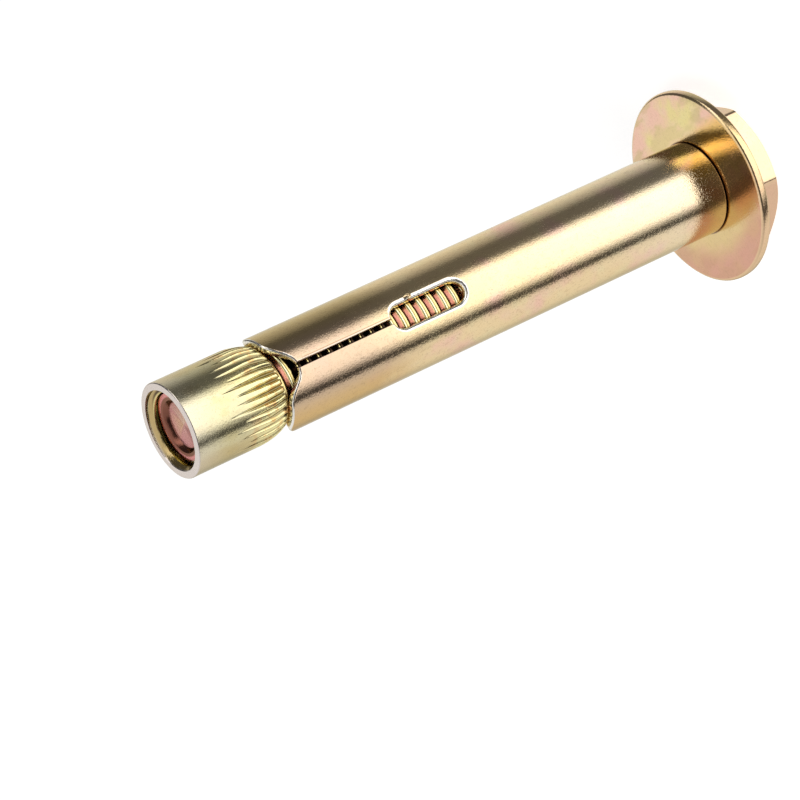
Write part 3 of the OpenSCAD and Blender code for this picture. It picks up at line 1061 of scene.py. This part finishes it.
# Brightness of the studio round the anchor, by direction in degrees from +X, below and above the horizon
RING_BELOW = [(0, 0.30), (12, 0.48), (26, 0.68), (40, 0.90), (60, 0.95), (95, 0.76), (115, 0.64), (140, 0.88),
              (180, 0.90), (195, 0.80), (201, 0.08), (211, 0.08), (222, 0.76), (232, 1.45), (250, 1.65),
              (292, 1.8), (304, 1.2), (314, 0.22), (324, 0.13), (350, 0.13), (360, 0.30)]
RING_ABOVE = [(0, 0.1), (56, 0.1), (66, 0.85), (75, 0.92), (100, 0.92), (150, 0.75), (184, 0.65), (202, 0.1),
              (303, 0.1), (314, 0.8), (330, 1.6), (346, 1.4), (354, 0.12), (360, 0.1)]
BRIGHTEST = 2.0
HORIZON = (0.02, 0.2)
ZENITH = (0.75, 0.95)
ZENITH_LEVEL = 0.9
WHITE = (1, 1, 1, 1)
# The floor's own glow for the camera near the anchor and far from it, and the studio's light on it
FLOOR_GLOW = (0.8, 0.92)
FLOOR_GLOW_SPAN = (0.15, 0.4)
FLOOR_COLOUR = (0.8, 0.8, 0.8, 1)
FLOOR_SIZE = 3.0
ROOM_LEVEL = 0.12


def ring(nodes, turn, stops):
    """Brightness round the horizon, as a share of the brightest."""
    return nodes.ramp(turn, [(angle / 360, (level / BRIGHTEST,) * 3) for angle, level in stops])


def make_world():
    """White for the camera, even for the floor, and a studio of soft pale and dark cards for the metal."""
    world = bpy.data.worlds.new("studio")
    world.use_nodes = True
    bpy.context.scene.world = world
    nodes = Nodes(world.node_tree)
    way = nodes.add("ShaderNodeTexCoord").outputs["Generated"]
    x, y, z = nodes.add("ShaderNodeSeparateXYZ", None, Vector=way).outputs
    turn = nodes.math("DIVIDE", nodes.math("ARCTAN2", y, x), 2 * pi)
    turn = nodes.math("FRACT", nodes.plus(turn, 1.0))
    level = nodes.blend(nodes.span(z, *HORIZON), ring(nodes, turn, RING_BELOW), ring(nodes, turn, RING_ABOVE))
    level = nodes.times(level, BRIGHTEST)
    level = nodes.blend(nodes.span(z, *ZENITH), level, ZENITH_LEVEL)
    path = nodes.add("ShaderNodeLightPath")
    metal_light = nodes.add("ShaderNodeBackground", None, Color=WHITE, Strength=level)
    room_light = nodes.add("ShaderNodeBackground", None, Color=WHITE, Strength=ROOM_LEVEL)
    white = nodes.add("ShaderNodeBackground", None, Color=WHITE, Strength=1.0)
    lit = nodes.add("ShaderNodeMixShader", None, i0=path.outputs["Is Glossy Ray"], i1=room_light.outputs[0],
                    i2=metal_light.outputs[0])
    seen = nodes.add("ShaderNodeMixShader", None, i0=path.outputs["Is Camera Ray"], i1=lit.outputs[0],
                     i2=white.outputs[0])
    nodes.add("ShaderNodeOutputWorld", None, Surface=seen.outputs[0])


def make_floor():
    """Plain pale floor that keeps a soft shadow. The metal reflects the studio round it instead."""
    bm = bmesh.new()
    bmesh.ops.create_grid(bm, x_segments=1, y_segments=1, size=FLOOR_SIZE)
    mesh = bpy.data.meshes.new("floor")
    bm.to_mesh(mesh)
    bm.free()
    floor = new_collection_object("floor", mesh)
    floor.visible_glossy = False
    material = bpy.data.materials.new("pale floor")
    material.use_nodes = True
    nodes = Nodes(material.node_tree)
    path = nodes.add("ShaderNodeLightPath")
    matt = nodes.add("ShaderNodeBsdfDiffuse", None, Color=FLOOR_COLOUR)
    place = nodes.add("ShaderNodeTexCoord").outputs["Object"]
    away = nodes.add("ShaderNodeVectorMath", {"operation": "LENGTH"}, i0=place).outputs["Value"]
    glow_level = nodes.times(path.outputs["Is Camera Ray"], nodes.span(away, *FLOOR_GLOW_SPAN, *FLOOR_GLOW))
    glow = nodes.add("ShaderNodeEmission", None, Color=WHITE, Strength=glow_level)
    both = nodes.add("ShaderNodeAddShader", None, i0=matt.outputs[0], i1=glow.outputs[0])
    nodes.add("ShaderNodeOutputMaterial", None, Surface=both.outputs[0])
    mesh.materials.append(material)


def make_lamp(name, place, aim, size, power):
    """A soft square lamp. The metal mirrors the studio only, and not the lamp."""
    data = bpy.data.lights.new(name, "AREA")
    data.size = size
    data.energy = power
    lamp = new_collection_object(name, data)
    lamp.location = place
    lamp.rotation_euler = (Vector(aim) - Vector(place)).to_track_quat("-Z", "Y").to_euler()
    lamp.visible_glossy = False


def make_camera():
    """The camera at the photograph's place, turned as the photograph is."""
    data = bpy.data.cameras.new("camera")
    data.lens = CAMERA_LENS
    data.sensor_width = SENSOR
    camera = new_collection_object("camera", data)
    place = Vector(CAMERA_AT) * MM
    aim = Vector(CAMERA_AIM) * MM
    level = (aim - place).to_track_quat("-Z", "Y").to_matrix().to_4x4()
    camera.matrix_world = Matrix.Translation(place) @ level @ Matrix.Rotation(-radians(CAMERA_TURN), 4, "Z")
    bpy.context.scene.camera = camera


make_camera()
make_world()
make_floor()
make_lamp("soft lamp", place=(-0.25, -0.35, 0.6), aim=(0, 0, 0.04), size=0.4, power=2.0)
finishes = make_materials()
make_bolt(finishes["bolt"])
make_washer(finishes["washer"])
add_share(make_sleeve(finishes["sleeve"]), "rub", sleeve_rim_highlights)
nut = make_nut(finishes["nut"])
add_share(nut, "rub", nut_rub)
add_share(nut, "groove", nut_groove)
bpy.context.scene.view_settings.view_transform = "Standard"
